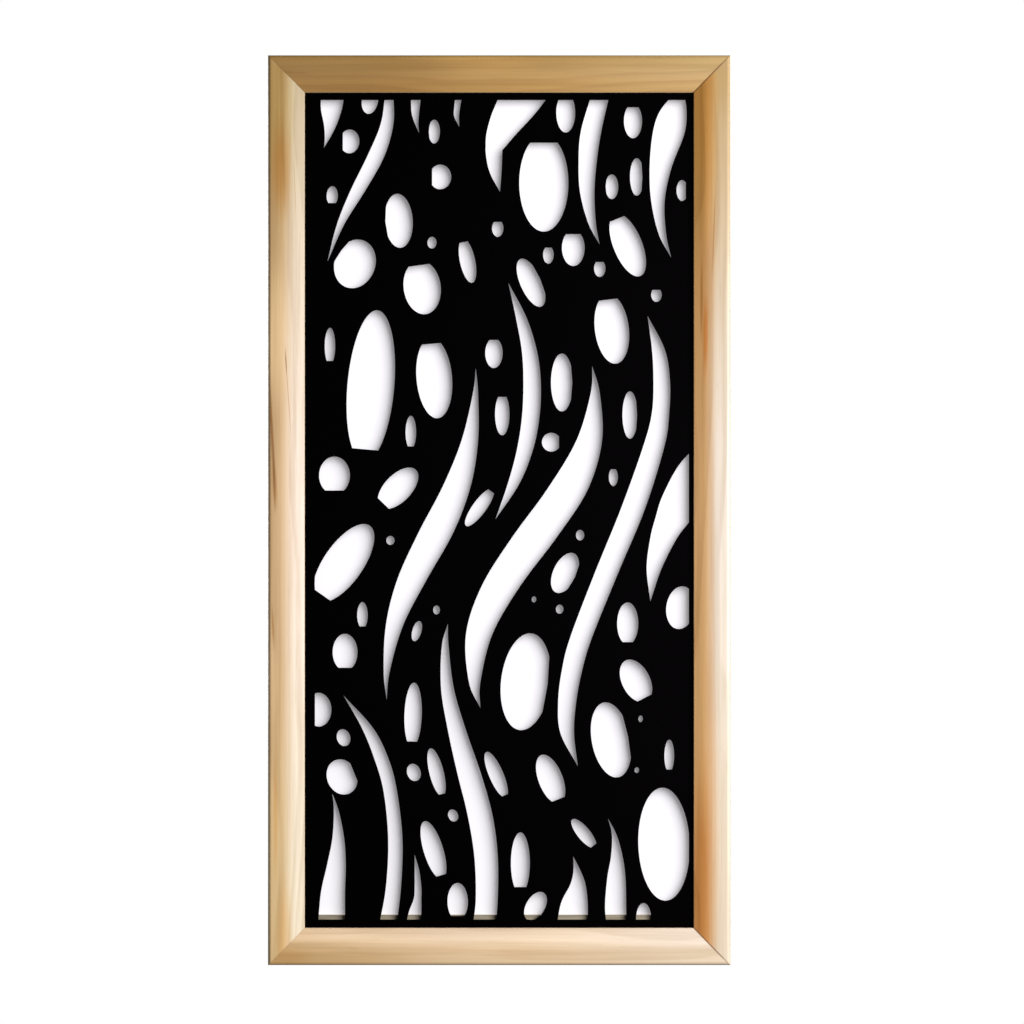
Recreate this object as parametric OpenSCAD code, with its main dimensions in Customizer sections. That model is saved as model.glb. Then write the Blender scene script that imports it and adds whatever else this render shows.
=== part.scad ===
// Decorative wall panel: a black pierced sheet held in a mitred frame of pine moulding.
// The front faces -Y, the wall is at +Y and +Z is up.
// The origin is the middle of the frame's bottom edge, half-way through its depth.

/* [Frame] */
// Width of the frame over its outer edges
frame_w = 610; // [480:5:900]
// Height of the frame over its outer edges
frame_h = 1200; // [900:10:1800]
// Depth of the frame from the wall to its front band
frame_d = 28; // [24:0.5:36]

/* [Moulding] */
// Width of the moulding's face
face_w = 48; // [44:1:64]
// Width of the flat band along the outer edge
band_w = 15; // [8:0.5:20]
// Radius of the outer front arris
arris_r = 5; // [1:0.25:7]
// Radius of the convex shoulder beside the band
shoulder_r = 47; // [20:1:60]
// Thickness of the lip at the sight edge
lip_t = 4.7; // [3:0.1:7]
// Width of the rebate behind the lip
rebate_w = 9; // [7:0.5:12]
// Depth of the rebate from the wall side
rebate_d = 12; // [11.5:0.5:15]

/* [Pierced sheet] */
// Thickness of the sheet
sheet_t = 6; // [3:0.5:6]
// Gap between the edge of the sheet and the rebate, all round
sheet_play = 1; // [0.5:0.25:2]
// Plain margin between the left sight edge and the pattern
margin_left = 13; // [4:1:30]
// Plain margin between the right sight edge and the pattern
margin_right = 6; // [4:1:30]
// Plain margin between the top sight edge and the pattern
margin_top = 9; // [4:1:30]
// Plain margin between the bottom sight edge and the pattern
margin_bottom = 10; // [4:1:30]

/* [Beads and pins] */
// Thickness of the beads behind the sheet
bead_t = 5; // [3:0.5:5]
// Width of the top and side beads
bead_w = 12; // [10:0.5:13]
// Width of the bottom bead
bottom_bead_w = 25; // [12:0.5:30]
// Chamfer on the rear inner edge of a bead
bead_chamfer = 1; // [0.5:0.25:2]
// Gap at each end of a bead
bead_play = 0.2; // [0.1:0.1:0.5]
// Greatest distance between two pins
pin_pitch = 200; // [120:10:300]
// Diameter of a pin
pin_d = 1.4; // [1:0.1:2]
// Diameter of a pin's head
pin_head_d = 2.4; // [2.2:0.1:3]
// Thickness of a pin's head
pin_head_t = 0.6; // [0.4:0.1:1]
// How far a pin reaches into the moulding
pin_bite = 10; // [6:1:16]

/* [Corner nails] */
// Length of each leg of a V-nail
nail_leg = 9; // [6:0.5:11]
// Thickness of a V-nail's strip
nail_t = 0.6; // [0.4:0.1:1]
// Depth that a V-nail reaches into the wood
nail_depth = 10; // [6:0.5:12]
// Distance of the outer V-nail from the corner, along the mitre
nail_outer = 16; // [10:1:22]
// Distance of the inner V-nail from the corner, along the mitre
nail_inner = 38; // [32:1:42]

/* [Hangers] */
// Distance of the hangers below the top of the frame
hanger_drop = 150; // [90:10:300]
// Distance of the hangers from the outer edge of the stile
hanger_inset = 20; // [14:1:24]
// Width of a hanger plate
plate_w = 16; // [14:1:20]
// Length of a hanger plate
plate_l = 54; // [50:1:70]
// Thickness of a hanger plate
plate_t = 2; // [1.5:0.25:3]
// Diameter of the round end of the keyhole
keyhole_d = 9; // [8:0.5:10]
// Width of the keyhole's slot
keyhole_slot = 4.4; // [4:0.2:5]
// Height of the keyhole's slot above the middle of its round end
keyhole_rise = 13; // [10:1:15]
// Diameter of a hanger screw
screw_d = 3; // [2.5:0.5:3.5]
// Length of a hanger screw
screw_l = 14; // [10:1:18]

/* [Hidden] */

// Finishes as the photograph shows them
PINE = "#dcb583";
STRIP = "#a8946c";
BLACK = "#0b0a0c";
STEEL = "#b4b7bb";

// Smoothness of the round shapes
$fn = 72;
// Length by which a cut runs past the surface it opens
over = 1;
// Gap between a driven piece of steel and the wood round it
snug = 0.03;

// The four sides, numbered clockwise as seen from the front
BOTTOM_SIDE = 0;
LEFT_SIDE = 1;
TOP_SIDE = 2;
RIGHT_SIDE = 3;
function side_length(side) = side % 2 == 0 ? frame_w : frame_h;
// The four corners, numbered the same way
BOTTOM_LEFT = 0;
TOP_LEFT = 1;
TOP_RIGHT = 2;
BOTTOM_RIGHT = 3;

// Height of the moulding's nose, and how far the face falls from the band to it
nose = rebate_d + lip_t;
fall = frame_d - nose;
run = face_w - band_w;
// The shoulder's arc has to leave room for a straight slope down to the nose
shoulder_room = 0.95 * (run * run + fall * fall) / (2 * fall);
shoulder = min(shoulder_r, shoulder_room);
// Angle at which the shoulder's arc runs into the straight slope
slope = atan2(run, shoulder - fall) - acos(shoulder / norm([run, shoulder - fall]));
slope_start = [band_w + shoulder * sin(slope), frame_d - shoulder * (1 - cos(slope))];

// Distance from the outer edge of the frame to the wall of the rebate
rebate_edge = face_w - rebate_w;
opening_w = frame_w - 2 * rebate_edge;
opening_h = frame_h - 2 * rebate_edge;
// The sheet lies against the lip, and the beads lie against the sheet
wall_y = frame_d / 2;
sheet_front_y = wall_y - rebate_d;
sheet_back_y = sheet_front_y + sheet_t;
bead_mid_y = sheet_back_y + bead_t / 2;

// The rectangle that the pattern fills, between the margins
field_w = frame_w - 2 * face_w - margin_left - margin_right;
field_h = frame_h - 2 * face_w - margin_top - margin_bottom;
field_left = margin_left + face_w - frame_w / 2;
field_bottom = face_w + margin_bottom;
// The pattern is drawn on a sheet of this size and stretched to the field
DRAWN = [495, 1085];

// A pebble is an oval with one flat side. It has the place of its middle from the drawing's lower left
// corner, its width and length, its lean to the right, and the side that is flat, with the share
// of the half width or half length that is left there.
ON_TOP = 90;
ON_LEFT = 180;
BELOW = 270;
ON_RIGHT = 0;
PEBBLES = [
    // Top third
    [46, 1030, 26, 32, 0, ON_LEFT, 0.7],
    [73, 1085, 22, 38, 8],
    [158, 1043, 15, 32, 0, ON_LEFT, 0.85],
    [332, 1068, 25, 53],
    [421, 1057, 24, 46, 0, ON_TOP, 0.8],
    [166, 983, 29, 33, 0, ON_LEFT, 0.75],
    [426, 983, 18, 50, 0, ON_RIGHT, 0.7],
    [23, 958, 15, 26, 0, BELOW, 0.75],
    [111, 925, 37, 72, -4, ON_LEFT, 0.85],
    [303, 975, 65, 129, 0, ON_TOP, 0.83],
    [393, 970, 17, 33, 0, ON_LEFT, 0.85],
    [486, 965, 15, 28, 0, ON_RIGHT, 0.65],
    [155, 896, 12, 16],
    [202, 872, 20, 60, -12, ON_TOP, 0.85],
    [242, 915, 15, 23, 0, ON_TOP, 0.75],
    [309, 880, 14, 24, 0, ON_TOP, 0.8],
    [342, 889, 30, 48, 0, ON_TOP, 0.77],
    [414, 893, 38, 89, -22, ON_TOP, 0.84],
    [53, 868, 54, 66, 20, 160, 0.87],
    [142, 837, 49, 72, -8, ON_TOP, 0.82],
    [286, 843, 28, 69, -24, ON_RIGHT, 0.83],
    [377, 862, 15, 23, 0, ON_TOP, 0.75],
    [452, 827, 14, 19, 0, ON_TOP, 0.7],
    [393, 782, 45, 93, -7, ON_TOP, 0.84],
    [20, 759, 14, 49, 0, BELOW, 0.8],
    [237, 750, 23, 40, 0, ON_TOP, 0.87],
    // Middle third
    [158, 717, 47, 107, -5, ON_TOP, 0.85],
    [74, 706, 62, 202, 5, BELOW, 0.83],
    [248, 669, 19, 56, 0, ON_TOP, 0.82],
    [327, 711, 29, 77, 0, ON_RIGHT, 0.83],
    [417, 668, 20, 63, 0, ON_RIGHT, 0.83],
    [127, 645, 14, 44, 0, BELOW, 0.85],
    [313, 632, 25, 25, 0, ON_RIGHT, 0.8],
    [26, 588, 41, 50, 0, BELOW, 0.8],
    [110, 571, 36, 68, 44, BELOW, 0.82],
    [395, 586, 12, 24, 0, ON_TOP, 0.85],
    [100, 502, 11, 12],
    [218, 546, 18, 61, 36, ON_TOP, 0.85],
    [351, 509, 11, 14],
    [38, 472, 52, 121, 35, BELOW, 0.84],
    [331, 459, 31, 57, 25, ON_RIGHT, 0.81],
    [63, 403, 14, 35, 0, BELOW, 0.85],
    [161, 410, 9, 12],
    [290, 424, 6, 8],
    [324, 411, 10, 12],
    [484, 413, 38, 57, 8],
    [40, 354, 33, 49, 0, BELOW, 0.84],
    [135, 382, 12, 28, 16],
    [414, 392, 28, 56, 0, BELOW, 0.88],
    // Bottom third
    [279, 315, 65, 129, 7, ON_RIGHT, 0.83],
    [425, 316, 37, 61, -27, BELOW, 0.83],
    [5, 278, 34, 45],
    [38, 241, 18, 23, -15],
    [130, 271, 23, 86, 2, BELOW, 0.82],
    [431, 266, 6, 9],
    [36, 189, 40, 48, -22, ON_RIGHT, 0.85],
    [131, 195, 18, 24, -17],
    [161, 195, 19, 66, -14, BELOW, 0.9],
    [240, 192, 19, 66, -23, BELOW, 0.9],
    [312, 186, 32, 69, -21, BELOW, 0.83],
    [392, 238, 51, 101, -11, ON_RIGHT, 0.83],
    [426, 198, 6, 8],
    [469, 217, 13, 43, 0, BELOW, 0.85],
    [183, 138, 13, 17, -22],
    [157, 92, 26, 81, -17, BELOW, 0.86],
    [356, 114, 17, 49, -39, BELOW, 0.84],
    [462, 100, 68, 150, -2],
    [272, 75, 25, 82, 0, BELOW, 0.78],
    [189, 24, 27, 50, 0, BELOW, 0.77],
    [292, 18, 25, 42, 30],
    [435, 1, 20, 43],
];

// A wisp is a long tapering cut. Each station has its height, the left edge and the right edge.
WISPS = [
    // Five that hang from the top edge on the left
    [[1092, 8, 39], [1073, 8, 36], [1052, 12, 29], [1036, 13, 21], [1021, 12, 12]],
    [[1092, 127, 141], [1068, 128, 138], [1052, 133, 137], [1041, 138, 138]],
    [[1092, 186, 195], [1066, 184, 191], [1055, 188, 191], [1049, 191, 191]],
    [[1092, 245, 311], [1066, 234, 291], [1040, 227, 267], [1018, 226, 248]],
    // The lower half of the last one, which turns sharply on its right
    [[1036, 228, 248], [1018, 226, 248], [990, 231, 247], [963, 245, 245]],
    [[1092, 93, 104], [1053, 87, 104], [1010, 69, 92], [965, 47, 67], [920, 29, 39], [869, 16, 16]],
    // Two that hang from the top edge on the right
    [[1092, 366, 390], [1043, 352, 379], [1003, 349, 373], [962, 351, 370], [921, 362, 372], [893, 377, 377]],
    [[1092, 474, 489], [1069, 456, 492], [1040, 447, 489], [995, 443, 472], [951, 445, 463],
     [907, 455, 465], [875, 472, 472]],
    // The four long ones of the middle, from left to right
    [[730, 213, 213], [696, 209, 216], [634, 194, 216], [573, 169, 206], [512, 137, 183],
     [450, 109, 148], [390, 94, 117], [328, 91, 99], [290, 95, 95]],
    [[843, 256, 256], [797, 266, 280], [752, 274, 294], [709, 276, 299], [664, 274, 297],
     [620, 267, 288], [576, 255, 270], [530, 239, 239]],
    [[733, 367, 367], [697, 365, 377], [634, 346, 380], [569, 307, 361], [506, 261, 320],
     [442, 221, 272], [378, 200, 235], [314, 204, 219], [280, 219, 219]],
    [[800, 440, 440], [755, 446, 463], [713, 448, 470], [671, 446, 469], [628, 435, 463],
     [544, 405, 437], [458, 370, 401], [374, 338, 367], [331, 327, 354], [289, 322, 346],
     [247, 325, 343], [203, 348, 348]],
    // The one that the right edge cuts
    [[632, 511, 545], [602, 482, 530], [561, 460, 512], [533, 451, 500], [506, 444, 480],
     [465, 439, 459], [421, 444, 444]],
    // Six that rise from the bottom edge, from left to right
    [[168, 23, 23], [143, 25, 32], [107, 23, 39], [72, 16, 41], [36, 8, 40], [-8, 4, 40]],
    [[298, 37, 37], [254, 62, 77], [212, 79, 98], [169, 91, 109], [106, 97, 116], [43, 94, 114],
     [-8, 85, 108]],
    [[87, 132, 132], [66, 132, 138], [43, 132, 141], [28, 131, 141], [12, 125, 141], [-8, 120, 140]],
    [[392, 176, 176], [362, 168, 177], [306, 167, 184], [251, 176, 200], [196, 188, 219],
     [139, 202, 235], [84, 211, 242], [28, 213, 242], [-8, 209, 239]],
    [[84, 342, 342], [64, 342, 352], [47, 338, 358], [23, 326, 361], [-8, 320, 361]],
    [[134, 388, 388], [113, 393, 399], [85, 392, 407], [56, 387, 411], [19, 384, 412], [-8, 386, 412]],
];
// Steps along a wisp between two of its stations
WISP_STEPS = 5;

// Clearances and small parts of the hangers
plate_play = 0.15;
plate_corner = 3;
screw_head_d = 2 * screw_d;
screw_head_t = screw_head_d / 4;
screw_tip = screw_d;
screw_play = 0.15;
// Distance of a screw from the end of its plate, and from the plate's middle
screw_from_end = 7;
screw_spot = plate_l / 2 - screw_from_end;
// The middle of the keyhole's round end lies below the middle of the plate
keyhole_z = -keyhole_rise / 2;
// The pocket behind the keyhole, where the head of the wall screw hides
pocket_play = 1;
pocket_depth = 8;
// Half the angle between the legs of a V-nail, and how far it is sunk
nail_half_angle = 50;
nail_sink = 0.3;

// Profile of the moulding, with the outer edge at x = 0 and the wall at y = 0
module moulding_profile() {
    bend = [band_w + shoulder * tan(slope / 2), frame_d];
    difference() {
        polygon([[0, 0], [0, frame_d], bend, [face_w, nose], [face_w, rebate_d],
                 [rebate_edge, rebate_d], [rebate_edge, 0]]);
        // What the rounded arris leaves out
        difference() {
            translate([-over, frame_d - arris_r]) square(arris_r + over);
            translate([arris_r, frame_d - arris_r]) circle(arris_r);
        }
        // What the convex shoulder leaves out
        difference() {
            polygon([[band_w, frame_d], bend + [over, over], slope_start]);
            translate([band_w, frame_d - shoulder]) circle(shoulder, $fn = 4 * $fn);
        }
    }
}

// Puts something made for the bottom side on another side
module on_side(side) {
    place = [[0, 0, 0], [-frame_w / 2, 0, frame_h / 2], [0, 0, frame_h], [frame_w / 2, 0, frame_h / 2]][side];
    translate(place) rotate([0, 90 * side, 0]) children();
}

// Puts something made for the lower left corner in another corner
module in_corner(corner) {
    place = [[-frame_w / 2, 0, 0], [-frame_w / 2, 0, frame_h],
             [frame_w / 2, 0, frame_h], [frame_w / 2, 0, 0]][corner];
    translate(place) rotate([0, 90 * corner, 0]) children();
}

// A length of moulding for the bottom side, with a mitre at each end
module mitred_length(length) {
    outer = length / 2 + over;
    inner = length / 2 - face_w - over;
    intersection() {
        translate([0, wall_y, 0]) rotate([90, 0, 90])
            linear_extrude(length, center = true) rotate(90) moulding_profile();
        rotate([90, 0, 0]) linear_extrude(2 * frame_d, center = true)
            polygon([[-outer, -over], [outer, -over], [inner, face_w + over], [-inner, face_w + over]]);
    }
}

// The strip of a V-nail seen from behind, with its point on the mitre; grow widens it to its slot
module nail_strip(grow) {
    along = [cos(nail_half_angle), sin(nail_half_angle)];
    across = [sin(nail_half_angle), -cos(nail_half_angle)];
    point = [-grow / sin(nail_half_angle), 0];
    tip = point + (nail_leg + 2 * grow) * along;
    inside = (nail_t + 2 * grow) * across;
    notch = point + [(nail_t + 2 * grow) / sin(nail_half_angle), 0];
    polygon([point, tip, tip + inside, notch,
             [tip.x + inside.x, -tip.y - inside.y], [tip.x, -tip.y]]);
}

// The two V-nails of the lower left corner, or the slots that they leave in the wood
module nails_or_slots(grow, top) {
    for (distance = [nail_outer, nail_inner]) {
        translate([0, top, 0]) rotate([90, 0, 0]) rotate(45) translate([distance, 0])
            linear_extrude(nail_depth + top - wall_y + grow) nail_strip(grow);
    }
}

module v_nails(corner) {
    color(STEEL) in_corner(corner) nails_or_slots(0, wall_y - nail_sink);
}

module nail_slots(corner) {
    in_corner(corner) nails_or_slots(snug, wall_y + over);
}

// The beads: the top and bottom ones run through, and the side ones stand between them
function bead_width(side) = side == BOTTOM_SIDE ? bottom_bead_w : bead_w;
function bead_length(side) =
    side % 2 == 0 ? opening_w - 2 * bead_play : opening_h - bead_w - bottom_bead_w - 2 * bead_play;
// The side beads sit higher by half of what the bottom bead is wider than the top one
bead_lift = (bottom_bead_w - bead_w) / 2;
function bead_shift(side) = side == LEFT_SIDE ? -bead_lift : side == RIGHT_SIDE ? bead_lift : 0;

function pin_count(side) = max(2, ceil(bead_length(side) / pin_pitch));
function pin_places(side) =
    let (count = pin_count(side), length = bead_length(side))
    [for (i = [0 : count - 1]) bead_shift(side) + length * ((i + 0.5) / count - 0.5)];

// Pins of one bead, as they lie on the bottom side; grow widens them to their holes
module pin_row(side, grow, past_head) {
    head_z = rebate_edge + bead_width(side);
    for (place = pin_places(side)) {
        translate([place, bead_mid_y, rebate_edge - pin_bite - grow])
            cylinder(h = pin_bite + bead_width(side) - pin_head_t / 2, d = pin_d + 2 * grow);
        translate([place, bead_mid_y, head_z - pin_head_t - grow])
            cylinder(h = pin_head_t + grow + past_head, d = pin_head_d + 2 * grow);
    }
}

module pins(side) {
    color(STEEL) on_side(side) pin_row(side, 0, 0);
}

module bead(side) {
    width = bead_width(side);
    color(STRIP) on_side(side) difference() {
        translate([bead_shift(side), sheet_back_y, rebate_edge]) rotate([90, 0, 90])
            linear_extrude(bead_length(side), center = true)
                polygon([[0, 0], [bead_t, 0], [bead_t, width - bead_chamfer],
                         [bead_t - bead_chamfer, width], [0, width]]);
        pin_row(side, snug, over);
    }
}

// Puts something made round the middle of a hanger plate on the left or right stile
module at_hanger(way) {
    translate([way * (frame_w / 2 - hanger_inset), wall_y, frame_h - hanger_drop]) children();
}

// Draws a shape from behind the panel and sinks it into the wood
module sunk(from, depth) {
    translate([0, from, 0]) rotate([90, 0, 0]) linear_extrude(depth) children();
}

module plate_outline(grow) {
    square([plate_w + 2 * grow, plate_l - 2 * plate_corner], center = true);
    square([plate_w - 2 * plate_corner, plate_l + 2 * grow], center = true);
    for (edge = [-1, 1], end = [-1, 1]) {
        translate([edge * (plate_w / 2 - plate_corner), end * (plate_l / 2 - plate_corner)])
            circle(plate_corner + grow);
    }
}

// A slot with round ends, from the middle of the keyhole's round end upwards
module upright_slot(width) {
    translate([0, keyhole_z]) circle(d = width);
    translate([-width / 2, keyhole_z]) square([width, keyhole_rise]);
    translate([0, keyhole_z + keyhole_rise]) circle(d = width);
}

module screws_or_holes(grow, past_head) {
    for (end = [-1, 1]) {
        translate([0, 0, end * screw_spot]) rotate([90, 0, 0]) {
            cylinder(h = screw_head_t + grow, d1 = screw_head_d + 2 * grow, d2 = screw_d + 2 * grow);
            if (past_head > 0) {
                translate([0, 0, -past_head]) cylinder(h = past_head, d = screw_head_d + 2 * grow);
            }
            cylinder(h = screw_l - screw_tip, d = screw_d + 2 * grow);
            translate([0, 0, screw_l - screw_tip])
                cylinder(h = screw_tip + grow, d1 = screw_d + 2 * grow, d2 = screw_d / 4 + 2 * grow);
        }
    }
}

module hanger_pocket(way) {
    at_hanger(way) {
        sunk(over, plate_t + over) plate_outline(plate_play);
        sunk(over, pocket_depth + over) upright_slot(keyhole_d + 2 * pocket_play);
        screws_or_holes(snug, over);
    }
}

module hanger(way) {
    color(STEEL) at_hanger(way) difference() {
        sunk(0, plate_t) plate_outline(0);
        sunk(over, plate_t + 2 * over) {
            upright_slot(keyhole_slot);
            translate([0, keyhole_z]) circle(d = keyhole_d);
        }
        screws_or_holes(screw_play, over);
    }
}

module hanger_screws(way) {
    color(STEEL) at_hanger(way) screws_or_holes(0, 0);
}

// One side of the frame, with what is let into its back
module frame_side(side) {
    color(PINE) difference() {
        on_side(side) mitred_length(side_length(side));
        on_side(side) pin_row(side, snug, over);
        nail_slots(side);
        nail_slots((side + 3) % 4);
        if (side == LEFT_SIDE) hanger_pocket(-1);
        if (side == RIGHT_SIDE) hanger_pocket(1);
    }
}

// Number of corners on a pebble: large ones need more to look round
SMALL_PEBBLE = 30;
LARGE_PEBBLE = 90;
function corners(length) = length < SMALL_PEBBLE ? 14 : length < LARGE_PEBBLE ? 22 : 34;

// Outline of a pebble: an arc of an oval, closed by its flat
function pebble(p) =
    let (half_w = p[2] / 2, half_l = p[3] / 2, lean = is_undef(p[4]) ? 0 : p[4],
         facing = is_undef(p[5]) ? 0 : p[5], kept = is_undef(p[6]) ? 1 : p[6],
         gap = acos(kept), count = corners(p[3]), last = kept < 1 ? count : count - 1)
    [for (i = [0 : last])
        let (a = facing + gap + (360 - 2 * gap) * i / count, u = half_w * cos(a), v = half_l * sin(a))
        [p[0] + u * cos(lean) + v * sin(lean), p[1] - u * sin(lean) + v * cos(lean)]];

// A smooth curve from b to c, which a and d help to steer
function between(a, b, c, d, t) =
    (2 * b + (c - a) * t + (2 * a - 5 * b + 4 * c - d) * t * t + (3 * b - a - 3 * c + d) * t * t * t) / 2;

// The stations of a wisp with smooth ones added between them
function smooth(s) =
    let (last = len(s) - 1)
    [for (i = [0 : last - 1], k = [0 : (i == last - 1 ? WISP_STEPS : WISP_STEPS - 1)])
        let (before = i > 0 ? s[i - 1] : 2 * s[0] - s[1],
             after = i < last - 1 ? s[i + 2] : 2 * s[last] - s[last - 1])
        between(before, s[i], s[i + 1], after, k / WISP_STEPS)];

// Outline of a wisp: down its left edge and up its right edge, which share a point where they all but meet
POINTED = 0.01;
function wisp(stations) =
    let (s = smooth(stations), last = len(s) - 1)
    concat([for (p = s) [p[1], p[0]]],
           [for (i = [last : -1 : 0]) if (s[i][2] - s[i][1] > POINTED) [s[i][2], s[i][0]]]);

function stretched(points) =
    [for (p = points) [p.x * field_w / DRAWN.x, p.y * field_h / DRAWN.y]];

module cut_panel() {
    sheet_w = opening_w - 2 * sheet_play;
    sheet_h = opening_h - 2 * sheet_play;
    color(BLACK) translate([0, sheet_back_y, 0]) rotate([90, 0, 0]) linear_extrude(sheet_t) difference() {
        translate([-sheet_w / 2, frame_h / 2 - sheet_h / 2]) square([sheet_w, sheet_h]);
        translate([field_left, field_bottom]) intersection() {
            square([field_w, field_h]);
            union() {
                for (p = PEBBLES) polygon(stretched(pebble(p)));
                for (w = WISPS) polygon(stretched(wisp(w)));
            }
        }
    }
}

frame_side(TOP_SIDE);  // top_rail
frame_side(BOTTOM_SIDE);  // bottom_rail
frame_side(LEFT_SIDE);  // left_stile
frame_side(RIGHT_SIDE);  // right_stile
cut_panel();
bead(TOP_SIDE);  // bead_top
bead(BOTTOM_SIDE);  // bead_bottom
bead(LEFT_SIDE);  // bead_left
bead(RIGHT_SIDE);  // bead_right
pins(TOP_SIDE);  // pins_top
pins(BOTTOM_SIDE);  // pins_bottom
pins(LEFT_SIDE);  // pins_left
pins(RIGHT_SIDE);  // pins_right
v_nails(TOP_LEFT);  // v_nails_top_left
v_nails(TOP_RIGHT);  // v_nails_top_right
v_nails(BOTTOM_LEFT);  // v_nails_bottom_left
v_nails(BOTTOM_RIGHT);  // v_nails_bottom_right
hanger(-1);  // hanger_left
hanger(1);  // hanger_right
hanger_screws(-1);  // hanger_screws_left
hanger_screws(1);  // hanger_screws_right
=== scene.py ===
"""Looks of a decorative wall panel: pine moulding, a pierced black board and its fixings.

The packed model is the fixed frame, in metres: its front faces -Y, the wall is at +Y and +Z is up.
"""

import math
from typing import NamedTuple

import bmesh
import bpy
from mathutils import Matrix, Vector


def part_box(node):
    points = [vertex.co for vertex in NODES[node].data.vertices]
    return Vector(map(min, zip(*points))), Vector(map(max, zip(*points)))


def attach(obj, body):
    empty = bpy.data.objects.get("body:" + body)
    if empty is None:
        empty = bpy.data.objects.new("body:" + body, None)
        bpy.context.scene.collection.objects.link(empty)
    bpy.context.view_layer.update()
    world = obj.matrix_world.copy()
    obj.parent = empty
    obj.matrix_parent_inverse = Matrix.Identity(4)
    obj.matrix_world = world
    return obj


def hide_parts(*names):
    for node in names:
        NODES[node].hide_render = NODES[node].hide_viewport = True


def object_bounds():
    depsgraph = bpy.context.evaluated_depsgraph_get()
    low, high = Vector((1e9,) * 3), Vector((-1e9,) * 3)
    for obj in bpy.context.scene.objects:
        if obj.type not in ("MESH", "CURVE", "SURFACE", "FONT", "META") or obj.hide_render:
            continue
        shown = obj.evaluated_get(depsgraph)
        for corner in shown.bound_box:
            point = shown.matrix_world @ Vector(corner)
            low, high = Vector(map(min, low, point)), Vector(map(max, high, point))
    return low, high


bl_info = {
    "name": "Pierced wall panel",
    "version": (1, 0, 0),
    "blender": (4, 5, 0),
    "location": "View3D > Sidebar > Panel",
    "description": "Dresses a pierced wall panel: pine moulding, lacquered board and steel fixings",
    "category": "Object",
}

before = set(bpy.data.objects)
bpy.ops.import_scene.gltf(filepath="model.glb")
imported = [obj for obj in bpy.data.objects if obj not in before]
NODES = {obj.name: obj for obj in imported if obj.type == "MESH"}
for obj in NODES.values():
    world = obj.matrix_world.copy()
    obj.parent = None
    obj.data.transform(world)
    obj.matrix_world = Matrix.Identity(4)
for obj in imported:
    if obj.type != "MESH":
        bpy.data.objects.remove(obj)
BODY = "root"
FRAME_LOW, FRAME_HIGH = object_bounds()
MM = 0.001
SAME_POINT = 0.001 * MM
SHARP = math.radians(32)
X = Vector((1, 0, 0))
Y = Vector((0, 1, 0))
Z = Vector((0, 0, 1))

FLOAT = "NodeSocketFloat"
VECTOR = "NodeSocketVector"
COLOUR = "NodeSocketColor"
GEOMETRY = "NodeSocketGeometry"
WHITE = (1, 1, 1, 1)
ORIGIN = (0, 0, 0)


# Node graphs

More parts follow.
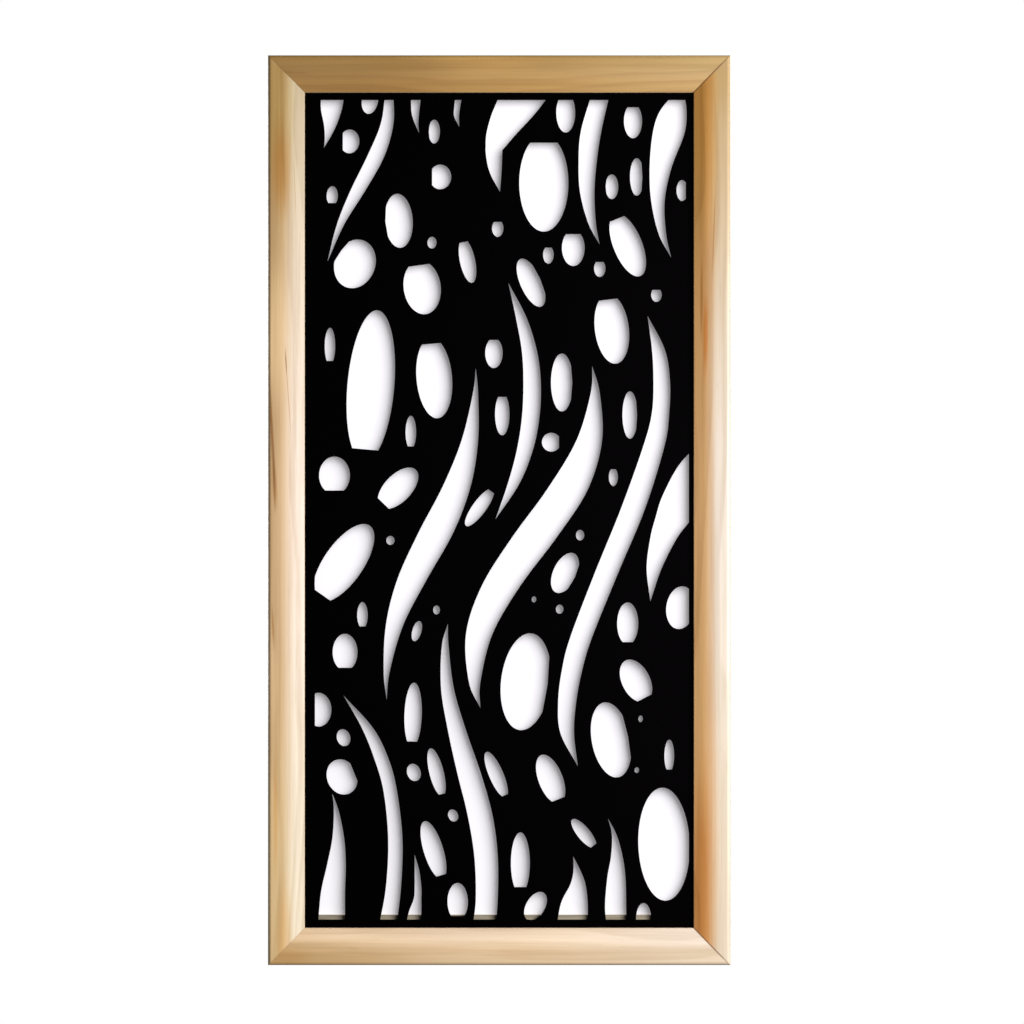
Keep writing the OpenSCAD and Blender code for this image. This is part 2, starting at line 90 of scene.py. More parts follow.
class Graph:
    """Adds nodes to a node tree and joins their sockets."""

    def __init__(self, tree):
        self.tree = tree
        self.tree.nodes.clear()

    def feed(self, socket, value):
        """Joins a socket to the one given, or sets its value."""
        if isinstance(value, bpy.types.NodeSocket):
            self.tree.links.new(value, socket)
        elif socket.type == "RGBA" and len(value) == 3:
            socket.default_value = (*value, 1)
        else:
            socket.default_value = value

    def add(self, kind, inputs=None, **settings):
        """A node with its settings, whose inputs are values or the sockets of other nodes."""
        node = self.tree.nodes.new(kind)
        for name, value in settings.items():
            setattr(node, name, value)
        for name, value in (inputs or {}).items():
            self.feed(node.inputs[name], value)
        return node

    def group(self, tree, **inputs):
        """Outputs of a node group placed here with its own values."""
        values = {name.replace("_", " ").capitalize(): value for name, value in inputs.items()}
        return self.add("ShaderNodeGroup", values, node_tree=tree).outputs

    def math(self, operation, first, second=0.0):
        """Result of one step of arithmetic."""
        return self.add("ShaderNodeMath", {0: first, 1: second}, operation=operation).outputs[0]

    def plus(self, first, second):
        """Sum of two numbers."""
        return self.math("ADD", first, second)

    def minus(self, first, second):
        """Difference of two numbers."""
        return self.math("SUBTRACT", first, second)

    def times(self, first, second):
        """Product of two numbers."""
        return self.math("MULTIPLY", first, second)

    def vector(self, operation, first, second=(0, 0, 0)):
        """Result of one step of vector arithmetic, which is a number for a dot product or a length."""
        node = self.add("ShaderNodeVectorMath", {0: first, 1: second}, operation=operation)
        return node.outputs["Value" if operation in ("DOT_PRODUCT", "LENGTH") else "Vector"]

    def noise(self, place, detail=2.0, roughness=0.5):
        """Soft noise about one half, with about one swell to each unit of the place given."""
        settings = {"Vector": place, "Scale": 1.0, "Detail": detail, "Roughness": roughness}
        return self.add("ShaderNodeTexNoise", settings).outputs[0]

    def rescale(self, value, low, high, new_low=0.0, new_high=1.0):
        """Value carried smoothly from one range to another and held within it."""
        settings = {"Value": value, "From Min": low, "From Max": high, "To Min": new_low, "To Max": new_high}
        return self.add("ShaderNodeMapRange", settings, interpolation_type="SMOOTHSTEP").outputs[0]

    def mix(self, share, first, second, blend="MIX"):
        """Colour between two, by share."""
        node = self.add("ShaderNodeMix", data_type="RGBA", blend_type=blend)
        sockets = {socket.identifier: socket for socket in (*node.inputs, *node.outputs)}
        self.feed(sockets["Factor_Float"], share)
        self.feed(sockets["A_Color"], first)
        self.feed(sockets["B_Color"], second)
        return sockets["Result_Color"]

    def tint(self, share, colour, tone):
        """Colour multiplied by a tone, by share."""
        return self.mix(share, colour, tone, "MULTIPLY")

    def object_place(self):
        """Place on the object, in metres."""
        return self.add("ShaderNodeTexCoord").outputs["Object"]

    def parts(self, place):
        """X, Y and Z of a place, by name."""
        return self.add("ShaderNodeSeparateXYZ", {0: place}).outputs

    def scaled(self, place, scale):
        """A place made larger or smaller all round."""
        return self.add("ShaderNodeVectorMath", {0: place, "Scale": scale}, operation="SCALE").outputs[0]

    def varied(self, value, mask, amount):
        """Value raised by an amount where a mask shows."""
        return self.plus(self.times(mask, amount), value)

    def bump(self, height, distance):
        """Normals of a surface that is raised by a height, over a real distance."""
        return self.add("ShaderNodeBump", {"Distance": distance, "Height": height}).outputs[0]


def shader_group(name, inputs, outputs):
    """A new shader node group with named sockets: its tree, its graph and what it is given.

    Each input has its default value, where three numbers are a vector and four are a colour.
    """
    tree = bpy.data.node_groups.new(name, "ShaderNodeTree")
    graph = Graph(tree)
    for label, default in inputs.items():
        kind = {3: VECTOR, 4: COLOUR}[len(default)] if isinstance(default, tuple) else FLOAT
        tree.interface.new_socket(label, in_out="INPUT", socket_type=kind).default_value = default
    for label, kind in outputs.items():
        tree.interface.new_socket(label, in_out="OUTPUT", socket_type=kind)
    return tree, graph, graph.add("NodeGroupInput").outputs


def once(make):
    """Keeps what a function makes, so that each node group is built only the first time."""
    kept = []

    def give():
        if not kept:
            kept.append(make())
        return kept[0]

    return give


# Shader groups

ON_TIMBER = {"Colour": WHITE, "Place": ORIGIN, "Low end": 0.0, "High end": 1.0}


@once
def member_space():
    """Place on a length of timber: how far along it, in from its outer edge, and back from the front."""
    inputs = {"Along": (1, 0, 0), "Inward": (0, 0, 1), "Outer edge": 0.0}
    tree, graph, given = shader_group("Member space", inputs, {"Place": VECTOR})
    point = graph.object_place()
    inward = graph.vector("DOT_PRODUCT", point, given["Inward"])
    place = {
        "X": graph.vector("DOT_PRODUCT", point, given["Along"]),
        "Y": graph.minus(inward, given["Outer edge"]),
        "Z": graph.vector("DOT_PRODUCT", point, tuple(Y)),
    }
    graph.add("NodeGroupOutput", {"Place": graph.add("ShaderNodeCombineXYZ", place).outputs[0]})
    return tree


@once
def timber_grain():
    """Softwood: growth rings round a pith behind the timber, broad streaks, fibres and resin flecks."""
    inputs = {
        "Place": ORIGIN, "Pale wood": WHITE, "Dark wood": WHITE, "Ring width": 0.005, "Rings": 0.3,
        "Streaks": 1.0, "Seed": 0.0,
    }
    outputs = {"Colour": COLOUR, "Height": FLOAT, "Gloss break": FLOAT}
    tree, graph, given = shader_group("Timber grain", inputs, outputs)
    place = graph.vector("ADD", given["Place"], graph.vector("MULTIPLY", (3.1, 0.37, 0.53), given["Seed"]))

    def stretched(along, across, detail=2.0):
        """Noise drawn out along the timber, by how many swells it has to a metre along and across."""
        return graph.noise(graph.vector("MULTIPLY", place, (along, across, across)), detail)

    # The pith lies behind the wall side, and the rings waver by about 10 mm along the timber
    pith_inward = 0.03
    pith_back = 0.09
    wander = 0.035
    waver = graph.times(graph.minus(stretched(1.7, 9), 0.5), wander)
    flat = graph.parts(given["Place"])
    across = graph.plus(graph.minus(flat["Y"], pith_inward), waver)
    depth = graph.plus(graph.minus(pith_back, flat["Z"]), waver)
    radius = graph.vector("LENGTH", graph.add("ShaderNodeCombineXYZ", {"X": across, "Y": depth}).outputs[0])
    season = graph.math("FRACT", graph.math("DIVIDE", radius, given["Ring width"]))
    late = graph.times(graph.rescale(season, 0.2, 0.85), graph.rescale(season, 1.0, 0.85))
    streak = graph.minus(stretched(1.3, 75, 3.0), 0.45)
    fine_streak = graph.minus(stretched(6, 260, 3.0), 0.5)
    fibre = graph.minus(stretched(22, 1300), 0.5)
    fleck = graph.rescale(stretched(40, 700, 0.0), 0.74, 0.82)

    darkness = graph.times(late, given["Rings"])
    for amount in (
        graph.times(streak, given["Streaks"]),
        graph.times(fine_streak, graph.times(given["Streaks"], 0.7)),
        graph.times(fibre, 0.2),
        graph.times(fleck, 0.12),
    ):
        darkness = graph.plus(darkness, amount)
    streak_gloss = graph.times(streak, 0.2)
    graph.add("NodeGroupOutput", {
        "Colour": graph.mix(darkness, given["Pale wood"], given["Dark wood"]),
        "Height": graph.minus(fibre, graph.times(late, 0.4)),
        "Gloss break": graph.varied(streak_gloss, fibre, 0.35),
    })
    return tree


@once
def tone_and_painted_light():
    """Slow change of a timber's tone from its low end to its high end, and on the slope of its face."""
    inputs = {
        **ON_TIMBER, "Low tone": WHITE, "Middle tone": WHITE, "High tone": WHITE, "Slope tone": WHITE,
        "Slope start": 0.015, "Slope end": 0.037,
    }
    tree, graph, given = shader_group("Timber tone", inputs, {"Colour": COLOUR})
    flat = graph.parts(given["Place"])
    middle = graph.times(graph.plus(given["Low end"], given["High end"]), 0.5)
    climb = graph.rescale(flat["X"], given["Low end"], middle)
    rest = graph.rescale(flat["X"], middle, given["High end"])
    # Partly the timber's own tone and partly painted light and sheen along its length
    tone = graph.mix(rest, graph.mix(climb, given["Low tone"], given["Middle tone"]), given["High tone"])
    slope = graph.rescale(flat["Y"], given["Slope start"], given["Slope end"])
    # Painted light and shade: the slope of the face is made paler or darker by the way it faces the light
    colour = graph.tint(slope, graph.tint(1.0, given["Colour"], tone), given["Slope tone"])
    graph.add("NodeGroupOutput", {"Colour": colour})
    return tree


@once
def mitre_lines():
    """Dark lines where a length of timber meets the next ones, fainter towards its outer edge."""
    inputs = {
        **ON_TIMBER, "Low mitre": 0.0, "High mitre": 0.0, "Half width": 0.0022, "Faint as far as": 0.015,
        "Line": (0.3, 0.2, 0.13, 1),
    }
    tree, graph, given = shader_group("Mitre lines", inputs, {"Colour": COLOUR})
    flat = graph.parts(given["Place"])
    inner = graph.rescale(flat["Y"], 0.0, given["Faint as far as"], 0.4, 1.0)
    colour = given["Colour"]

    # Along a mitre, the place lies as far from the end of the timber as from its outer edge
    for from_end, shown in (
        (graph.minus(flat["X"], given["Low end"]), given["Low mitre"]),
        (graph.minus(given["High end"], flat["X"]), given["High mitre"]),
    ):
        off_line = graph.math("ABSOLUTE", graph.minus(from_end, flat["Y"]))
        line = graph.times(graph.rescale(off_line, given["Half width"], 0.0), shown)
        colour = graph.tint(graph.times(line, inner), colour, given["Line"])
    graph.add("NodeGroupOutput", {"Colour": colour})
    return tree


@once
def wood_figure():
    """A stained patch, streak or resin line in the wood, with a wavering outline."""
    inputs = {
        "Colour": WHITE, "Place": ORIGIN, "Middle": ORIGIN, "Reach": (1, 1, 1), "Lean": 0.0,
        "Tone": WHITE, "Waver": 0.8,
    }
    tree, graph, given = shader_group("Wood figure", inputs, {"Colour": COLOUR})
    offset = graph.vector("SUBTRACT", given["Place"], given["Middle"])
    shift = graph.times(graph.parts(offset)["X"], given["Lean"])
    lean = graph.add("ShaderNodeCombineXYZ", {"Y": shift}).outputs[0]
    offset = graph.vector("DIVIDE", graph.vector("SUBTRACT", offset, lean), given["Reach"])
    ripple = graph.noise(graph.vector("MULTIPLY", given["Place"], (9, 380, 40)), 3.0)
    ripple = graph.times(graph.minus(ripple, 0.5), given["Waver"])
    distance = graph.plus(graph.vector("LENGTH", offset), ripple)
    share = graph.rescale(distance, 1.0, 0.2)
    graph.add("NodeGroupOutput", {"Colour": graph.tint(share, given["Colour"], given["Tone"])})
    return tree


@once
def fine_relief():
    """Fine unevenness of a finish: a rolling surface with a grit on it."""
    inputs = {"Roll": 90.0, "Grit": 900.0}
    tree, graph, given = shader_group("Fine relief", inputs, {"Height": FLOAT, "Mask": FLOAT})
    point = graph.object_place()
    roll = graph.noise(graph.scaled(point, given["Roll"]))
    grit = graph.noise(graph.scaled(point, given["Grit"]), 1.0)
    graph.add("NodeGroupOutput", {
        "Height": graph.varied(roll, grit, 0.25),
        "Mask": graph.minus(grit, 0.5),
    })
    return tree


@once
def edge_wear():
    """Mask of the outward edges, broken up by noise."""
    tree, graph, given = shader_group("Edge wear", {"Break": 600.0}, {"Mask": FLOAT})
    sharpness = graph.rescale(graph.add("ShaderNodeNewGeometry").outputs["Pointiness"], 0.52, 0.6)
    patches = graph.rescale(graph.noise(graph.scaled(graph.object_place(), given["Break"])), 0.4, 0.6)
    graph.add("NodeGroupOutput", {"Mask": graph.times(sharpness, patches)})
    return tree


# Materials

def new_material(name):
    """A material and its graph."""
    material = bpy.data.materials.new(name)
    material.use_nodes = True
    return material, Graph(material.node_tree)


def finish_with(graph, sockets):
    """Puts the surface shader in, with its sockets."""
    shader = graph.add("ShaderNodeBsdfPrincipled", sockets)
    graph.add("ShaderNodeOutputMaterial", {"Surface": shader.outputs[0]})


def dress(piece, material):
    """Gives a piece its material."""
    if not piece.material_slots:
        piece.data.materials.append(None)
    piece.material_slots[0].material = material


class Figure(NamedTuple):
    """A mark in a length of timber: its middle and half its size along and across, in metres.

    Its tone multiplies the wood's, its lean is how far it strays inward for each metre along, and its
    waver is how much its outline wanders.
    """
    along: float
    inward: float
    half_length: float
    half_width: float
    tone: tuple
    lean: float = 0.0
    waver: float = 0.8


class Length(NamedTuple):
    """A length of timber: its CAD node, its run, the way in from its outer edge, and its own look."""
    node: str
    along: Vector
    inward: Vector
    seed: float
    low_tone: tuple = (1, 1, 1)
    middle_tone: tuple = (1, 1, 1)
    high_tone: tuple = (1, 1, 1)
    slope_tone: tuple = (1, 1, 1)
    low_mitre: float = 0.0
    high_mitre: float = 0.0
    figures: tuple = ()


def timber(length, look):
    """Wood of one length of timber, with its own grain, tones and figures."""
    material, graph = new_material("Timber " + length.node)
    along = length.along
    inward = length.inward
    outer_edge = min(inward.dot(FRAME_LOW), inward.dot(FRAME_HIGH))
    place = graph.group(
        member_space(), along=tuple(along), inward=tuple(inward), outer_edge=outer_edge)["Place"]
    grain = graph.group(
        timber_grain(), place=place, pale_wood=look.pale, dark_wood=look.dark,
        ring_width=look.ring_width, rings=look.rings, streaks=look.streaks, seed=length.seed)
    ends = {"low_end": along.dot(FRAME_LOW), "high_end": along.dot(FRAME_HIGH)}
    colour = graph.group(
        tone_and_painted_light(), colour=grain["Colour"], place=place, **ends, low_tone=length.low_tone,
        middle_tone=length.middle_tone, high_tone=length.high_tone, slope_tone=length.slope_tone)["Colour"]
    for mark in length.figures:
        colour = graph.group(
            wood_figure(), colour=colour, place=place, middle=(mark.along, mark.inward, 0),
            reach=(mark.half_length, mark.half_width, 1), lean=mark.lean, tone=mark.tone,
            waver=mark.waver)["Colour"]

    # The sides and the back show the plain wood, without the tones and their painted light and shade
    facing = graph.vector("DOT_PRODUCT", graph.add("ShaderNodeTexCoord").outputs["Normal"], tuple(-Y))
    colour = graph.mix(graph.rescale(facing, 0.2, 0.7), grain["Colour"], colour)
    colour = graph.group(
        mitre_lines(), colour=colour, place=place, **ends,
        low_mitre=length.low_mitre, high_mitre=length.high_mitre)["Colour"]
    finish_with(graph, {
        "Base Color": colour,
        "Roughness": graph.plus(grain["Gloss break"], look.roughness),
        "Specular IOR Level": look.gloss,
        "Normal": graph.bump(grain["Height"], look.relief),
    })
    return material


def lacquer(look):
    """Black lacquer on board: smooth on the face and duller on the sawn walls of the cut-outs."""
    material, graph = new_material("Black lacquer")
    relief = graph.group(fine_relief(), roll=240.0, grit=2600.0)
    normal = graph.add("ShaderNodeNewGeometry").outputs["True Normal"]
    facing = graph.math("ABSOLUTE", graph.vector("DOT_PRODUCT", normal, tuple(Y)))
    wall = graph.rescale(facing, 0.5, 0.2)
    roughness = graph.varied(look.roughness, relief["Mask"], 0.15)
    finish_with(graph, {
        "Base Color": graph.mix(wall, look.colour, look.wall_colour),
        "Roughness": graph.varied(roughness, wall, 0.2),
        "Specular IOR Level": look.gloss,
        "Normal": graph.bump(relief["Height"], 0.02 * MM),
    })
    return material


def metal(name, colour, dull_colour, roughness, grit):
    """Plated or drawn steel, duller in its grain and a little brighter on worn edges."""
    material, graph = new_material(name)
    relief = graph.group(fine_relief(), roll=grit / 6, grit=grit)
    wear = graph.group(edge_wear())["Mask"]
    shade = graph.mix(graph.rescale(relief["Height"], 0.5, 0.8), colour, dull_colour)
    finish_with(graph, {
        "Base Color": graph.mix(wear, shade, colour),
        "Metallic": 1.0,
        "Roughness": graph.varied(roughness, relief["Mask"], 0.3),
        "Normal": graph.bump(relief["Height"], 0.03 * MM),
    })
    return material


# Meshes

@once
def clean_edges():
    """Welds a CAD mesh, smooths its gentle edges and marks by how much each outward edge is eased."""
    weld = 0.005 * MM
    mitre_play = 0.2 * MM
    back_play = 0.1 * MM
    fine_share = 0.15
    tree = bpy.data.node_groups.new("Clean edges", "GeometryNodeTree")
    graph = Graph(tree)
    tree.interface.new_socket("Geometry", in_out="INPUT", socket_type=GEOMETRY)
    tree.interface.new_socket("Geometry", in_out="OUTPUT", socket_type=GEOMETRY)
    given = graph.add("NodeGroupInput").outputs["Geometry"]
    plain = graph.add("GeometryNodeRemoveAttribute", {"Geometry": given, "Name": "custom_normal"}).outputs[0]
    welded = graph.add("GeometryNodeMergeByDistance", {"Geometry": plain, "Distance": weld}).outputs[0]
    smooth = graph.add("GeometryNodeSetShadeSmooth", {"Geometry": welded}, domain="FACE").outputs[0]
    angle = graph.add("GeometryNodeInputMeshEdgeAngle").outputs
    gentle = graph.add("FunctionNodeCompare", {0: angle["Unsigned Angle"], 1: SHARP}, operation="LESS_THAN")
    crisp = graph.add("GeometryNodeSetShadeSmooth", {"Geometry": smooth, "Shade Smooth": gentle.outputs[0]},
                      domain="EDGE").outputs[0]

    # A mitred edge lies as far from one outer edge of the frame as from the other, and is eased less.
    # So are the edges round the back.
    place = graph.parts(graph.add("GeometryNodeInputPosition").outputs[0])
    from_side = graph.minus(FRAME_HIGH.x, graph.math("ABSOLUTE", place["X"]))
    from_end = graph.math("MINIMUM", place["Z"], graph.minus(FRAME_HIGH.z, place["Z"]))
    apart = {0: from_side, 1: from_end, 2: mitre_play}
    on_mitre = graph.add("ShaderNodeMath", apart, operation="COMPARE").outputs[0]
    behind = graph.math("GREATER_THAN", place["Y"], FRAME_HIGH.y - back_play)
    outward = graph.math("GREATER_THAN", angle["Signed Angle"], SHARP)
    fine = graph.math("MAXIMUM", on_mitre, behind)
    share = graph.minus(1.0, graph.times(fine, 1 - fine_share))
    weight = graph.times(outward, share)
    marked = graph.add("GeometryNodeStoreNamedAttribute",
                       {"Geometry": crisp, "Name": "bevel_weight_edge", "Value": weight}, domain="EDGE")
    graph.add("NodeGroupOutput", {"Geometry": marked.outputs[0]})
    return tree


def ease_edges(piece, width):
    """Rounds the outward edges of a CAD piece by modifiers, which leave its mesh alone."""
    clean = piece.modifiers.new("Clean edges", "NODES")
    clean.node_group = clean_edges()
    bevel = piece.modifiers.new("Eased edges", "BEVEL")
    bevel.limit_method = "WEIGHT"
    bevel.width = width
    bevel.segments = 3
    bevel.use_clamp_overlap = False
    piece.modifiers.new("Even shading", "WEIGHTED_NORMAL").keep_sharp = True


def new_object(name, data):
    """A new object in the scene for a mesh, curve, light or camera."""
    made = bpy.data.objects.new(name, data)
    bpy.context.scene.collection.objects.link(made)
    return made


def stand_in(node, name, mesh, material):
    """A new piece that replaces a CAD node, rides on the panel and takes its finish from a material slot."""
    piece = new_object(name, mesh)
    dress(piece, material)
    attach(piece, BODY)
    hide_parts(node)


def as_drawn(source):
    """Mesh of an object as it is drawn, with its bevel or its modifiers."""
    bpy.context.view_layer.update()
    drawn = source.evaluated_get(bpy.context.evaluated_depsgraph_get())
    return bpy.data.meshes.new_from_object(drawn)


def as_mesh(name, build, level=None):
    """A mesh from a bmesh, smooth but for its sharp edges and the rims of its faces square to a direction."""
    bmesh.ops.recalc_face_normals(build, faces=build.faces)
    build.normal_update()
    for face in build.faces:
        face.smooth = True
    for edge in build.edges:
        flat = {level is not None and abs(face.normal.dot(level)) > 0.999 for face in edge.link_faces}
        edge.smooth = len(flat) == 1 and edge.calc_face_angle(math.pi) < SHARP
    mesh = bpy.data.meshes.new(name)
    build.to_mesh(mesh)
    build.free()
    return mesh


def stand_in_row(node, parts, material):
    """Replaces a CAD node by one new piece made of several turned parts, whose meshes are used up."""
    row = bmesh.new()
    for part in parts:
        row.from_mesh(part)
        bpy.data.meshes.remove(part)
    name = "turned_" + node
    stand_in(node, name, as_mesh(name, row), material)


def welded_cad(node):
    """Working copy of a CAD node's mesh, with its points joined up."""
    build = bmesh.new()
    build.from_mesh(NODES[node].data)
    bmesh.ops.remove_doubles(build, verts=build.verts, dist=SAME_POINT)
    return build


def loose_boxes(node):
    """Lowest and highest corner of each loose part of a CAD node, in order of place."""
    build = welded_cad(node)
    waiting = set(build.verts)
    boxes = []
    while waiting:
        # The list grows while it is walked, until the whole part is found
        found = [waiting.pop()]
        for vert in found:
            for edge in vert.link_edges:
                other = edge.other_vert(vert)
                if other in waiting:
                    waiting.remove(other)
                    found.append(other)
        low = tuple(min(vert.co[axis] for vert in found) for axis in range(3))
        high = tuple(max(vert.co[axis] for vert in found) for axis in range(3))
        boxes.append((low, high))
    build.free()
    return [(Vector(low), Vector(high)) for low, high in sorted(boxes)]


def turned(stations, segments=24, start=0.0, pitch=0.0, depth=0.0):
    """A body turned about Z from (radius, height) stations, with a thread where a station asks for one.

    A station may add a share of the thread's depth. Every row has its own ring, and both ends are closed.
    """
    build = bmesh.new()
    rows = []
    for radius, height, *share in stations:
        # A turn of the thread rises by its pitch, and its ridge has straight flanks
        ring = []
        for step in range(segments):
            turn = step / segments
            phase = (height / pitch - turn) % 1 if share else 0.5
            ridge = abs(2 * phase - 1) * depth * share[0] if share else 0
            angle = 2 * math.pi * turn + start
            reach = max(radius + ridge, 0)
            ring.append(build.verts.new((reach * math.cos(angle), reach * math.sin(angle), height)))
        rows.append(ring)
    for upper, lower in zip(rows, rows[1:]):
        for step in range(segments):
            after = (step + 1) % segments
            build.faces.new((upper[step], upper[after], lower[after], lower[step]))
    build.faces.new(rows[0])
    build.faces.new(rows[-1][::-1])
    bmesh.ops.remove_doubles(build, verts=build.verts, dist=SAME_POINT)
    return build


def pointing(direction, place):
    """Carries what is made along Z to a place, turned to a direction."""
    return Matrix.Translation(place) @ direction.to_track_quat("Z", "Y").to_matrix().to_4x4()


# Fields of the looks

def number_field(name, description, default, **settings):
    """A number."""
    return bpy.props.FloatProperty(name=name, description=description, default=default, **settings)


def colour_field(name, description, default):
    """A colour."""
    return bpy.props.FloatVectorProperty(
        name=name, description=description, default=default, size=3, min=0, max=1, subtype="COLOR")


def length_field(name, description, default):
    """A length or a distance."""
    return number_field(name, description, default, min=0, subtype="DISTANCE", unit="LENGTH")


def share_field(name, description, default):
    """A share, from none to all."""
    return number_field(name, description, default, min=0, max=1, subtype="FACTOR")


def power_field(name, description, default):
    """Power of a light."""
    return number_field(name, description, default, min=0, subtype="POWER", unit="POWER")


# Moulding

class MouldingLook(bpy.types.PropertyGroup):
    """Wood and varnish of the frame."""
    pale: colour_field("Pale wood", "Colour of the early wood", (0.46, 0.34, 0.22))
    dark: colour_field("Dark wood", "Colour of the late wood and the streaks", (0.225, 0.125, 0.045))
    ring_width: length_field("Ring width", "Distance between two growth rings", 0.006)
    rings: share_field("Rings", "How plainly the growth rings show", 0.2)
    streaks: share_field("Streaks", "How plainly the broad streaks show", 0.7)
    roughness: share_field("Varnish roughness", "Roughness of the satin varnish", 0.5)
    gloss: share_field("Varnish gloss", "Specular level of the varnish", 0.4)
    relief: length_field("Grain relief", "Height of the grain under the varnish", 0.00003)
    ease: length_field("Eased edge", "Rounding of the moulding's sharp edges", 0.0007)


BROWN = (0.75, 0.63, 0.45)
RESIN = (0.55, 0.42, 0.28)
ORANGE = (1.0, 0.85, 0.65)
PALE = (1.33, 1.42, 1.52)

TOP_FIGURES = (
    Figure(-0.145, 0.032, 0.13, 0.045, (0.9, 0.87, 0.8), waver=0.2),
    Figure(-0.02, 0.01, 0.1, 0.018, (1.13, 1.1, 1.09), waver=0.2),
)
BOTTOM_FIGURES = (
    Figure(-0.1, 0.03, 0.32, 0.024, (1.18, 1.2, 1.22), waver=0.2),
    Figure(-0.22, 0.008, 0.18, 0.015, (0.94, 0.9, 0.82), waver=0.2),
    Figure(-0.24, 0.043, 0.11, 0.015, (1.12, 1.15, 1.28), waver=0.2),
    Figure(-0.285, 0.012, 0.05, 0.02, (0.94, 0.87, 0.74), waver=0.3),
    Figure(-0.05, 0.042, 0.17, 0.014, (0.9, 0.88, 0.88), waver=0.2),
)
LEFT_FIGURES = (
    Figure(1.14, 0.015, 0.14, 0.028, (0.9, 0.86, 0.64), waver=0.2),
    Figure(1.05, 0.018, 0.09, 0.02, (0.87, 0.68, 0.4), waver=0.3),
    Figure(1.025, 0.0355, 0.056, 0.0008, BROWN, -0.03),
    Figure(0.83, 0.01, 0.13, 0.02, PALE, waver=0.3),
    Figure(0.795, 0.024, 0.025, 0.0014, RESIN, -0.06),
    Figure(0.758, 0.0265, 0.08, 0.0009, BROWN, -0.066),
    Figure(0.69, 0.0062, 0.1, 0.0028, RESIN, -0.045),
    Figure(0.633, 0.009, 0.045, 0.005, BROWN, -0.05),
    Figure(0.445, 0.007, 0.04, 0.0025, BROWN, -0.04),
    Figure(0.2, 0.01, 0.12, 0.004, ORANGE),
    Figure(0.03, 0.022, 0.11, 0.014, (1.0, 0.88, 0.72), waver=0.2),
)
RIGHT_FIGURES = (
    Figure(1.17, 0.012, 0.07, 0.018, (0.96, 0.92, 0.78), waver=0.3),
    Figure(1.09, 0.031, 0.17, 0.02, (1.0, 0.99, 0.84), waver=0.2),
    Figure(1.08, 0.042, 0.22, 0.013, (0.87, 0.91, 0.83), waver=0.2),
    Figure(1.08, 0.0235, 0.28, 0.012, (1.03, 0.95, 0.83), waver=0.2),
    Figure(0.15, 0.0235, 0.3, 0.012, (1.05, 0.94, 0.82), waver=0.2),
    Figure(0.97, 0.022, 0.09, 0.0012, BROWN, -0.038),
    Figure(0.877, 0.038, 0.07, 0.0025, BROWN),
    Figure(0.831, 0.033, 0.07, 0.0045, (0.95, 0.68, 0.42)),
    Figure(0.09, 0.038, 0.24, 0.018, (0.84, 0.63, 0.41), waver=0.3),
)

# Each length's tones are partly the wood's own and partly painted light: darker towards the top, and paler
# and whiter towards the bottom and the right where sheen would fall. Each slope tone paints its slope lit or
# shaded by the way it faces the light.
MEMBERS = (
    Length(
        "top_rail", X, -Z, 3.0,
        low_tone=(0.64, 0.49, 0.22), middle_tone=(0.74, 0.59, 0.27), high_tone=(0.75, 0.66, 0.39),
        slope_tone=(1.0, 0.96, 0.95), low_mitre=0.25, high_mitre=0.9, figures=TOP_FIGURES),
    Length(
        "bottom_rail", X, Z, 7.0,
        low_tone=(1.08, 0.95, 0.7), middle_tone=(1.15, 1.12, 1.05), high_tone=(1.07, 1.15, 1.28),
        slope_tone=(1.05, 1.12, 1.3), low_mitre=0.15, high_mitre=0.95, figures=BOTTOM_FIGURES),
    Length(
        "left_stile", Z, X, 12.0,
        low_tone=(1.28, 1.22, 0.93), middle_tone=(1.2, 1.08, 0.9), high_tone=(0.93, 0.82, 0.53),
        slope_tone=(0.93, 1.13, 1.68), low_mitre=0.15, high_mitre=0.25, figures=LEFT_FIGURES),
    Length(
        "right_stile", Z, -X, 21.0,
        low_tone=(1.08, 1.22, 1.45), middle_tone=(0.98, 1.15, 1.5), high_tone=(0.77, 0.72, 0.54),
        slope_tone=(1.27, 0.84, 0.41), low_mitre=0.95, high_mitre=0.95, figures=RIGHT_FIGURES),
)


def finish_nodes(nodes, material, ease):
    """Gives CAD nodes one material and eases their edges."""
    for node in nodes:
        dress(NODES[node], material)
        ease_edges(NODES[node], ease)


def finish_lengths(lengths, look):
    """Gives each length of timber its own wood and eases its edges."""
    for length in lengths:
        finish_nodes([length.node], timber(length, look), look.ease)


class PANEL_OT_moulding(bpy.types.Operator):
    """Varnish the four mitred lengths of pine moulding"""
    bl_idname = "panel.moulding"
    bl_label = "Moulding"

    def execute(self, context):
        finish_lengths(MEMBERS, context.scene.moulding_look)
        return {"FINISHED"}


# Pierced board

class BoardLook(bpy.types.PropertyGroup):
    """Lacquer and edges of the pierced board."""
    colour: colour_field("Lacquer", "Colour of the face", (0.0003, 0.0001, 0.0003))
    wall_colour: colour_field("Cut walls", "Colour of the walls of the cut-outs", (0.004, 0.0025, 0.003))
    roughness: share_field("Roughness", "Roughness of the lacquer", 0.55)
    gloss: share_field("Gloss", "Specular level of the lacquer", 0.01)
    arris: length_field("Arris", "Rounding of the edges of face and cut-outs", 0.0004)
    smooth_turn: number_field(
        "Smooth turn", "Largest turn of an outline that is drawn as a smooth curve", SHARP,
        min=0, subtype="ANGLE", unit="ROTATION")


def outlines(node):
    """Closed outlines of a flat CAD node's front face, as lists of points (x, z)."""
    build = welded_cad(node)
    build.normal_update()
    front = {face for face in build.faces if face.normal.y < -0.99}
    rim = [edge for edge in build.edges if sum(face in front for face in edge.link_faces) == 1]
    meeting = {}
    for edge in rim:
        for vert in edge.verts:
            meeting.setdefault(vert, []).append(edge)
    used = set()
    loops = []
    for edge in rim:
        loop = []
        vert = edge.verts[0]
        while edge not in used:
            used.add(edge)
            loop.append(Vector((vert.co.x, vert.co.z)))
            vert = edge.other_vert(vert)
            edge = next((other for other in meeting[vert] if other not in used), edge)
        if loop:
            loops.append(loop)
    build.free()
    return loops


